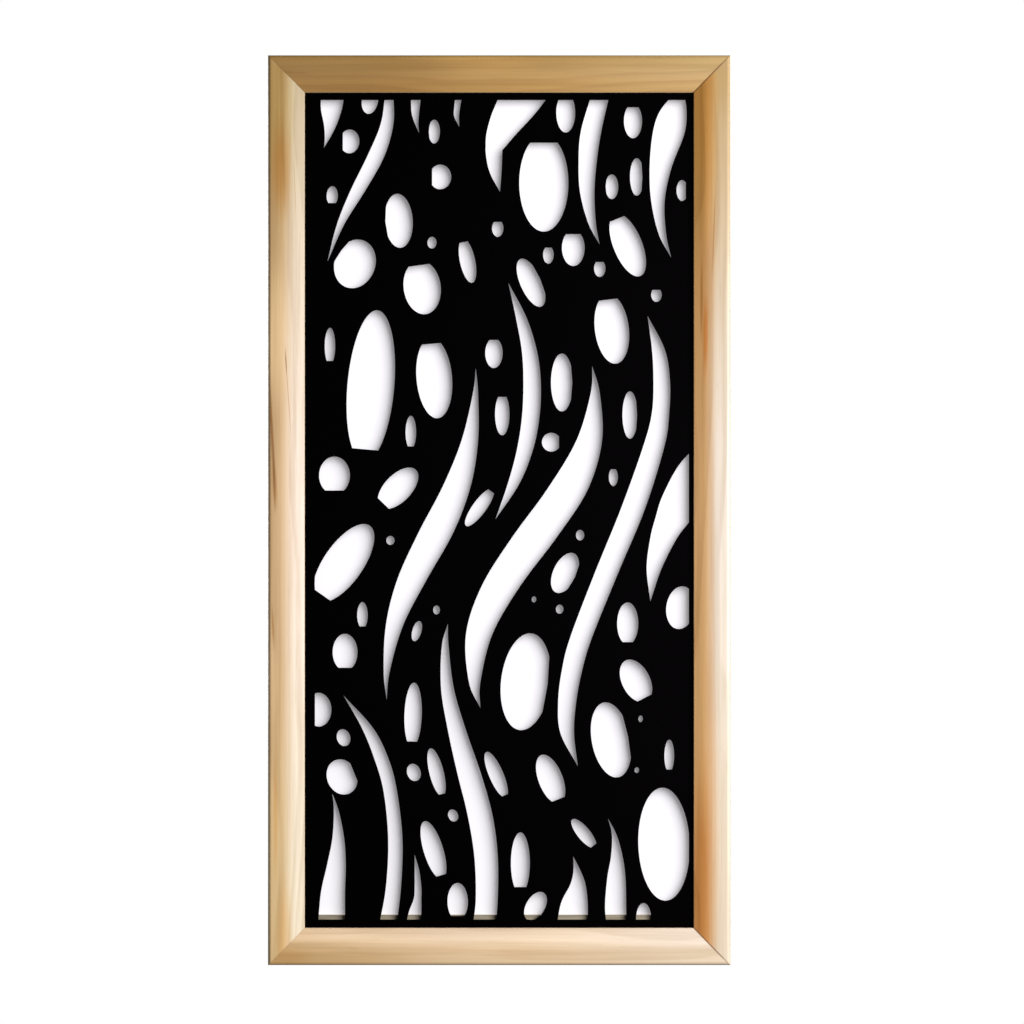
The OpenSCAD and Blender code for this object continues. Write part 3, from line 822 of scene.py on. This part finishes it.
def pierced_board(look):
    """Mesh of the board from the CAD outlines, drawn as smooth curves with rounded arrises."""
    low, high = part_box("cut_panel")
    middle = (low.y + high.y) / 2
    weld = 0.0001 * MM
    curve = bpy.data.curves.new("Board outline", "CURVE")
    curve.dimensions = "2D"
    curve.fill_mode = "BOTH"
    curve.extrude = (high.y - low.y) / 2 - look.arris
    curve.bevel_depth = look.arris
    curve.bevel_resolution = 1
    # The rounding goes outwards, so the outline is first drawn in by as much
    curve.offset = -look.arris
    curve.resolution_u = 2
    for loop in outlines("cut_panel"):
        spline = curve.splines.new("BEZIER")
        spline.bezier_points.add(len(loop) - 1)
        spline.use_cyclic_u = True
        for number, point in enumerate(spline.bezier_points):
            into = loop[number] - loop[number - 1]
            out_of = loop[(number + 1) % len(loop)] - loop[number]
            corner = into.angle(out_of) > look.smooth_turn
            point.co = (*loop[number], 0)
            point.handle_left_type = point.handle_right_type = "VECTOR" if corner else "AUTO"
    drawn = new_object("Board outline", curve)
    mesh = as_drawn(drawn)
    bpy.data.objects.remove(drawn)
    bpy.data.curves.remove(curve)

    # The outline lies in XY and is stood up on the middle plane of the board
    build = bmesh.new()
    build.from_mesh(mesh)
    bpy.data.meshes.remove(mesh)
    bmesh.ops.remove_doubles(build, verts=build.verts, dist=weld)
    for vert in build.verts:
        vert.co = (vert.co.x, middle - vert.co.z, vert.co.y)
    return as_mesh("Pierced board", build, Y)


class PANEL_OT_board(bpy.types.Operator):
    """Cut the pierced board with smooth outlines and lacquer it black"""
    bl_idname = "panel.board"
    bl_label = "Pierced board"

    def execute(self, context):
        look = context.scene.board_look
        stand_in("cut_panel", "pierced_board", pierced_board(look), lacquer(look))
        return {"FINISHED"}


# Beads

class BeadLook(bpy.types.PropertyGroup):
    """Plain wood of the beads behind the board."""
    pale: colour_field("Pale wood", "Colour of the early wood", (0.24, 0.203, 0.147))
    dark: colour_field("Dark wood", "Colour of the late wood and the streaks", (0.12, 0.1, 0.07))
    ring_width: length_field("Ring width", "Distance between two growth rings", 0.003)
    rings: share_field("Rings", "How plainly the growth rings show", 0.35)
    streaks: share_field("Streaks", "How plainly the broad streaks show", 0.8)
    roughness: share_field("Roughness", "Roughness of the bare wood", 0.75)
    gloss: share_field("Gloss", "Specular level of the bare wood", 0.3)
    relief: length_field("Grain relief", "Height of the grain", 0.00008)
    ease: length_field("Eased edge", "Rounding of the beads' sharp edges", 0.0003)


BEADS = (
    Length("bead_top", X, -Z, 31.0),
    Length("bead_bottom", X, Z, 36.0),
    Length("bead_left", Z, X, 41.0),
    Length("bead_right", Z, -X, 46.0),
)


class PANEL_OT_beads(bpy.types.Operator):
    """Finish the four wooden beads that hold the board"""
    bl_idname = "panel.beads"
    bl_label = "Beads"

    def execute(self, context):
        finish_lengths(BEADS, context.scene.bead_look)
        return {"FINISHED"}


# Steel

class SteelLook(bpy.types.PropertyGroup):
    """Bright steel of the pins and corner nails, and zinc of the hangers and their screws."""
    steel: colour_field("Steel", "Colour of the bright steel", (0.55, 0.56, 0.58))
    dull_steel: colour_field("Dull steel", "Colour of the steel where it has dulled", (0.33, 0.33, 0.34))
    steel_roughness: share_field("Steel roughness", "Roughness of the bright steel", 0.42)
    zinc: colour_field("Zinc", "Colour of the zinc plating", (0.4, 0.42, 0.44))
    dull_zinc: colour_field("Dull zinc", "Colour of the plating where it has dulled", (0.27, 0.28, 0.3))
    zinc_roughness: share_field("Zinc roughness", "Roughness of the zinc plating", 0.52)
    screw_zinc: colour_field("Screw zinc", "Colour of the darker plating of the screws", (0.2, 0.2, 0.205))
    dull_screw: colour_field("Dull screw zinc", "Colour of that plating once dulled", (0.12, 0.12, 0.125))
    nail_ease: length_field("Nail edge", "Rounding of the corner nails' edges", 0.00008)
    plate_ease: length_field("Plate edge", "Rounding of the hanger plates' edges", 0.0003)
    thread_pitch: length_field("Thread pitch", "Distance between two turns of a screw's thread", 0.0012)
    thread_depth: length_field("Thread depth", "Height of a screw's thread", 0.00045)


PIN_NODES = ("pins_top", "pins_bottom", "pins_left", "pins_right")
NAIL_NODES = ("v_nails_top_left", "v_nails_top_right", "v_nails_bottom_left", "v_nails_bottom_right")
HANGER_NODES = ("hanger_left", "hanger_right")
SCREW_NODES = ("hanger_screws_left", "hanger_screws_right")
PIN_SHAFT_D = 1.4 * MM
PIN_RINGS = 6

# Rows of points to one turn of a thread, how far the first screw of a plate is turned, and how much
# further each next one is, in degrees
THREAD_ROWS = 6
FIRST_TURN = 20
NEXT_TURN = 35


def steel(look):
    """Bright drawn steel of the pins and the corner nails."""
    return metal("Bright steel", look.steel, look.dull_steel, look.steel_roughness, 5200.0)


def panel_pin(head_d, length):
    """A panel pin with a domed head, gripping rings and a pointed end, with its head at the origin."""
    head = head_d / 2
    shaft = PIN_SHAFT_D / 2
    groove = 0.88 * shaft
    dome = ((0, 0), (0.45, 0.03), (0.8, 0.12), (0.97, 0.26), (1, 0.4), (0.95, 0.54), (0.9, 0.6))
    stations = [(share * head, -drop * MM) for share, drop in dome]
    stations.append((shaft, -0.6 * MM))
    for ring in range(PIN_RINGS):
        top = (-1.3 - 0.4 * ring) * MM
        for radius, drop in ((shaft, 0), (groove, 0.1), (groove, 0.2), (shaft, 0.3)):
            stations.append((radius, top - drop * MM))
    stations += [(shaft, 2.4 * MM - length), (0.72 * shaft, 1.4 * MM - length), (0, -length)]
    return turned(stations)


class PANEL_OT_pins(bpy.types.Operator):
    """Turn the panel pins that fasten the beads"""
    bl_idname = "panel.pins"
    bl_label = "Pins"

    def execute(self, context):
        bright = steel(context.scene.steel_look)
        middle = (FRAME_LOW + FRAME_HIGH) / 2
        for node in PIN_NODES:
            pins = []
            for low, high in loose_boxes(node):
                span = high - low
                run = X if span.x > span.z else Z
                out = run if run.dot(middle - low) > 0 else -run
                head = (low + high) / 2 + out * (run.dot(span) / 2)
                pin = panel_pin(span.y, run.dot(span))
                pin.transform(pointing(out, head))
                pins.append(as_mesh("Pin", pin))
            stand_in_row(node, pins, bright)
        return {"FINISHED"}


class PANEL_OT_corner_nails(bpy.types.Operator):
    """Finish the V-nails of the mitres"""
    bl_idname = "panel.corner_nails"
    bl_label = "Corner nails"

    def execute(self, context):
        look = context.scene.steel_look
        finish_nodes(NAIL_NODES, steel(look), look.nail_ease)
        return {"FINISHED"}


class PANEL_OT_hangers(bpy.types.Operator):
    """Plate the keyhole hangers"""
    bl_idname = "panel.hangers"
    bl_label = "Hangers"

    def execute(self, context):
        look = context.scene.steel_look
        plating = metal("Zinc plate", look.zinc, look.dull_zinc, look.zinc_roughness, 2400.0)
        finish_nodes(HANGER_NODES, plating, look.plate_ease)
        return {"FINISHED"}


def cross_bit(head_r, depth):
    """Two tapered blades that cross, whose shape is cut out of a screw head as its recess."""
    blades = []
    for turn in (0, math.pi / 2):
        blade = bmesh.new()
        bmesh.ops.create_cube(blade, size=1)
        # A blade narrows downwards, and its top stands clear of the head
        for vert in blade.verts:
            deep = vert.co.z < 0
            vert.co.x *= (0.5 if deep else 1.15) * head_r
            vert.co.y *= (0.2 if deep else 0.32) * head_r
            vert.co.z = -depth if deep else 0.1 * MM
        blade.transform(Matrix.Rotation(turn, 4, "Z"))
        blades.append(as_mesh("Blade", blade))
    return blades


def cut_away(body, tools):
    """Mesh of a body after each tool has been cut out of it."""
    piece = new_object("Cut body", body)
    helpers = [piece]
    for tool in tools:
        helper = new_object("Tool", tool)
        helpers.append(helper)
        cut = piece.modifiers.new("Cut", "BOOLEAN")
        cut.operation = "DIFFERENCE"
        cut.solver = "EXACT"
        cut.object = helper
    mesh = as_drawn(piece)
    for helper in helpers:
        bpy.data.objects.remove(helper)
    for used in (body, *tools):
        bpy.data.meshes.remove(used)
    return mesh


def hanger_screw(look, head_d, length, turn):
    """A countersunk wood screw with a cross recess and a threaded, pointed shank, its head at the origin."""
    head = head_d / 2
    shank = head / 2
    root = shank - look.thread_depth
    head_t = head / 2
    tip = 2 * shank
    top = head_t + 0.45 * MM
    stations = [(0, 0), (0.93 * head, 0), (0.965 * head, -0.06 * MM), (shank, -head_t),
                (root, -head_t - 0.3 * MM)]
    rows = round((length - top) / look.thread_pitch * THREAD_ROWS)
    for row in range(rows):
        depth = top + (length - 0.3 * MM - top) * row / (rows - 1)
        taper = min(1, (length - depth) / tip)
        stations.append((root * taper, -depth, taper))
    stations.append((0, -length))
    build = turned(stations, start=turn, pitch=look.thread_pitch, depth=look.thread_depth)
    return cut_away(as_mesh("Screw body", build), cross_bit(0.62 * head, 0.85 * MM))


class PANEL_OT_hanger_screws(bpy.types.Operator):
    """Turn the cross-head screws of the hangers"""
    bl_idname = "panel.hanger_screws"
    bl_label = "Hanger screws"

    def execute(self, context):
        look = context.scene.steel_look
        plating = metal("Screw plating", look.screw_zinc, look.dull_screw, look.steel_roughness, 5200.0)
        for node in SCREW_NODES:
            screws = []
            for number, (low, high) in enumerate(loose_boxes(node)):
                centre = (low + high) / 2
                turn = math.radians(FIRST_TURN + NEXT_TURN * number)
                screw = hanger_screw(look, high.x - low.x, high.y - low.y, turn)
                upright = pointing(Y, Vector((centre.x, high.y, centre.z)))
                screw.transform(upright @ Matrix.Rotation(turn, 4, "Z"))
                screws.append(screw)
            stand_in_row(node, screws, plating)
        return {"FINISHED"}


# Stage

class StageLook(bpy.types.PropertyGroup):
    """Camera, lights, wall and floor."""
    lens: number_field("Lens", "Focal length of the camera, in millimetres", 120, min=1)
    picture_width: length_field("Picture width", "Width that the picture covers at the panel's face", 1.3494)
    aim_x: number_field("Aim across", "Place of the picture's middle across the panel", 0.0169, unit="LENGTH")
    aim_z: number_field("Aim up", "Height of the picture's middle", 0.5976, unit="LENGTH")
    key_power: power_field("Key light", "Power of the softbox on the right", 64)
    front_power: power_field("Front light", "Power of the softbox on the right, nearer to the camera", 30)
    top_power: power_field("Top light", "Power of the softbox above on the right", 15)
    back_power: power_field("Back light", "Power of the softbox behind the panel on the right", 28)
    side_power: power_field("Side light", "Power of the softbox behind the panel on the left", 62)
    wall_power: power_field("Wall light", "Power of the large softbox that lights only the wall", 450)
    room_light: number_field("Room light", "Brightness of the room round the panel", 0.1, min=0)
    wall_colour: colour_field("Wall", "Colour of the wall behind the panel", (0.945, 0.925, 0.965))
    wall_glow: share_field("Wall glow", "Even light on the wall from the rest of the room", 0.22)
    floor_colour: colour_field("Floor", "Colour of the floor", (0.8, 0.79, 0.77))
    floor_drop: length_field("Floor below", "Depth of the floor below the panel", 0.45)
    floor_reach: length_field("Floor reach", "Radius of the floor", 2.4)


class Softbox(NamedTuple):
    """A square soft light: the property that holds its power, its place and its width."""
    name: str
    power: str
    place: tuple
    width: float


SOFTBOXES = (
    Softbox("Key light", "key_power", (1.64, -1.15, 0.6), 0.8),
    Softbox("Front light", "front_power", (1.0, -1.73, 0.6), 0.8),
    Softbox("Top light", "top_power", (1.0, 0, 2.33), 0.8),
    Softbox("Back light", "back_power", (1.0, 1.9, 1.3), 1.5),
    Softbox("Side light", "side_power", (-1.5, 1.95, 0.8), 1.2),
    Softbox("Wall light", "wall_power", (3.15, -4.35, 2.3), 5.6),
)
LIGHT_AIM = Vector((0, 0, 0.6))


def add_softboxes(look, wall):
    """Lights round the panel, of which the wall behind it takes only its own."""
    only_wall = bpy.data.collections.new("Lit by the wall light")
    all_but_wall = bpy.data.collections.new("Not lit by the others")
    for collection in (only_wall, all_but_wall):
        collection.objects.link(wall)
    all_but_wall.collection_objects[0].light_linking.link_state = "EXCLUDE"
    for box in SOFTBOXES:
        data = bpy.data.lights.new(box.name, "AREA")
        data.shape = "SQUARE"
        data.size = box.width
        data.energy = getattr(look, box.power)
        light = new_object(box.name, data)
        light.location = box.place
        light.rotation_euler = (LIGHT_AIM - light.location).to_track_quat("-Z", "Y").to_euler()
        light.visible_camera = False
        light.light_linking.receiver_collection = only_wall if box.name == "Wall light" else all_but_wall


def add_room(look):
    """Soft light from all round, and a white backdrop for what the camera sees past the panel."""
    world = bpy.data.worlds.new("Room")
    bpy.context.scene.world = world
    world.use_nodes = True
    graph = Graph(world.node_tree)
    seen = graph.add("ShaderNodeLightPath").outputs["Is Camera Ray"]
    strength = graph.rescale(seen, 0, 1, look.room_light, 1.0)
    backdrop = graph.add("ShaderNodeBackground", {"Color": WHITE, "Strength": strength})
    graph.add("ShaderNodeOutputWorld", {"Surface": backdrop.outputs[0]})


def add_camera(look):
    """The photograph's view: level and straight on, from the distance that the lens asks for."""
    data = bpy.data.cameras.new("Camera")
    data.lens = look.lens
    distance = look.picture_width * data.lens / data.sensor_width
    camera = new_object("Camera", data)
    camera.location = (look.aim_x, FRAME_LOW.y - distance, look.aim_z)
    camera.rotation_euler = (math.radians(90), 0, 0)
    bpy.context.scene.camera = camera


def one_sided(graph, alpha):
    """Leaves a surface only where it is seen from its front."""
    behind = graph.add("ShaderNodeNewGeometry").outputs["Backfacing"]
    return graph.times(alpha, graph.minus(1.0, behind))


def wall_paint(look):
    """Matt white of the wall, with a glow for the even light of the rest of the room."""
    material, graph = new_material("Wall paint")
    relief = graph.group(fine_relief(), roll=120.0, grit=900.0)
    finish_with(graph, {
        "Base Color": tuple(look.wall_colour),
        "Roughness": 0.9,
        "Specular IOR Level": 0.2,
        "Emission Color": tuple(look.wall_colour),
        "Emission Strength": look.wall_glow,
        "Alpha": one_sided(graph, 1.0),
        "Normal": graph.bump(relief["Height"], 0.05 * MM),
    })
    return material


def floor_paint(look):
    """Pale floor that fades out towards its rim."""
    solid_share = 0.45
    material, graph = new_material("Floor")
    off_middle = graph.vector("LENGTH", graph.object_place())
    fade = graph.rescale(off_middle, look.floor_reach, solid_share * look.floor_reach)
    relief = graph.group(fine_relief(), roll=6.0, grit=70.0)
    finish_with(graph, {
        "Base Color": tuple(look.floor_colour),
        "Roughness": graph.varied(0.75, relief["Mask"], 0.1),
        "Alpha": one_sided(graph, fade),
    })
    return material


def add_wall(look):
    """The wall behind the opening between the beads, just clear of the panel's back.

    It casts no shadow, so that the lights behind the panel reach the board and the beads.
    """
    margin = 1 * MM
    gap = 0.5 * MM
    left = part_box("bead_left")[1].x - margin
    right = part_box("bead_right")[0].x + margin
    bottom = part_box("bead_bottom")[1].z - margin
    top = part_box("bead_top")[0].z + margin
    depth = FRAME_HIGH.y + gap
    corners = [(left, depth, bottom), (right, depth, bottom), (right, depth, top), (left, depth, top)]
    mesh = bpy.data.meshes.new("Wall")
    mesh.from_pydata(corners, [], [(0, 1, 2, 3)])
    wall = new_object("Wall", mesh)
    wall.visible_shadow = False
    dress(wall, wall_paint(look))
    return wall


def add_floor(look):
    """Floor below the panel, which throws no light back at it."""
    build = bmesh.new()
    bmesh.ops.create_circle(build, cap_ends=True, segments=96, radius=look.floor_reach)
    mesh = bpy.data.meshes.new("Floor")
    build.to_mesh(mesh)
    build.free()
    floor = new_object("Floor", mesh)
    floor.location.z = FRAME_LOW.z - look.floor_drop
    floor.visible_diffuse = False
    floor.visible_glossy = False
    dress(floor, floor_paint(look))


class PANEL_OT_stage(bpy.types.Operator):
    """Set up the camera, the soft lights, the wall and the floor"""
    bl_idname = "panel.stage"
    bl_label = "Stage"

    def execute(self, context):
        look = context.scene.stage_look
        context.scene.view_settings.view_transform = "Standard"
        add_camera(look)
        add_room(look)
        add_softboxes(look, add_wall(look))
        add_floor(look)
        return {"FINISHED"}


# Sidebar and registration

LOOKS = {
    "moulding_look": MouldingLook,
    "board_look": BoardLook,
    "bead_look": BeadLook,
    "steel_look": SteelLook,
    "stage_look": StageLook,
}
OPERATORS = (
    PANEL_OT_moulding,
    PANEL_OT_board,
    PANEL_OT_beads,
    PANEL_OT_pins,
    PANEL_OT_corner_nails,
    PANEL_OT_hangers,
    PANEL_OT_hanger_screws,
    PANEL_OT_stage,
)


class PANEL_PT_sidebar(bpy.types.Panel):
    """Sizes and colours of the panel, and a button for each step"""
    bl_idname = "PANEL_PT_sidebar"
    bl_label = "Pierced wall panel"
    bl_space_type = "VIEW_3D"
    bl_region_type = "UI"
    bl_category = "Panel"

    def draw(self, context):
        for name, look_class in LOOKS.items():
            column = self.layout.column(heading=look_class.__doc__)
            for field in look_class.__annotations__:
                column.prop(getattr(context.scene, name), field)
        for operator in OPERATORS:
            self.layout.operator(operator.bl_idname)


def register():
    """Adds the looks to the scene, and the operators and the sidebar panel to Blender."""
    for name, look_class in LOOKS.items():
        bpy.utils.register_class(look_class)
        setattr(bpy.types.Scene, name, bpy.props.PointerProperty(type=look_class))
    for registered in (*OPERATORS, PANEL_PT_sidebar):
        bpy.utils.register_class(registered)


def unregister():
    """Takes away all that register adds."""
    for registered in (PANEL_PT_sidebar, *reversed(OPERATORS)):
        bpy.utils.unregister_class(registered)
    for name, look_class in LOOKS.items():
        delattr(bpy.types.Scene, name)
        bpy.utils.unregister_class(look_class)


def main():
    """Dresses the panel piece by piece, sets the stage and writes down both boxes."""
    register()
    bpy.ops.panel.moulding()
    bpy.ops.panel.board()
    bpy.ops.panel.beads()
    bpy.ops.panel.pins()
    bpy.ops.panel.corner_nails()
    bpy.ops.panel.hangers()
    bpy.ops.panel.hanger_screws()
    bpy.ops.panel.stage()


if __name__ == "__main__":
    main()
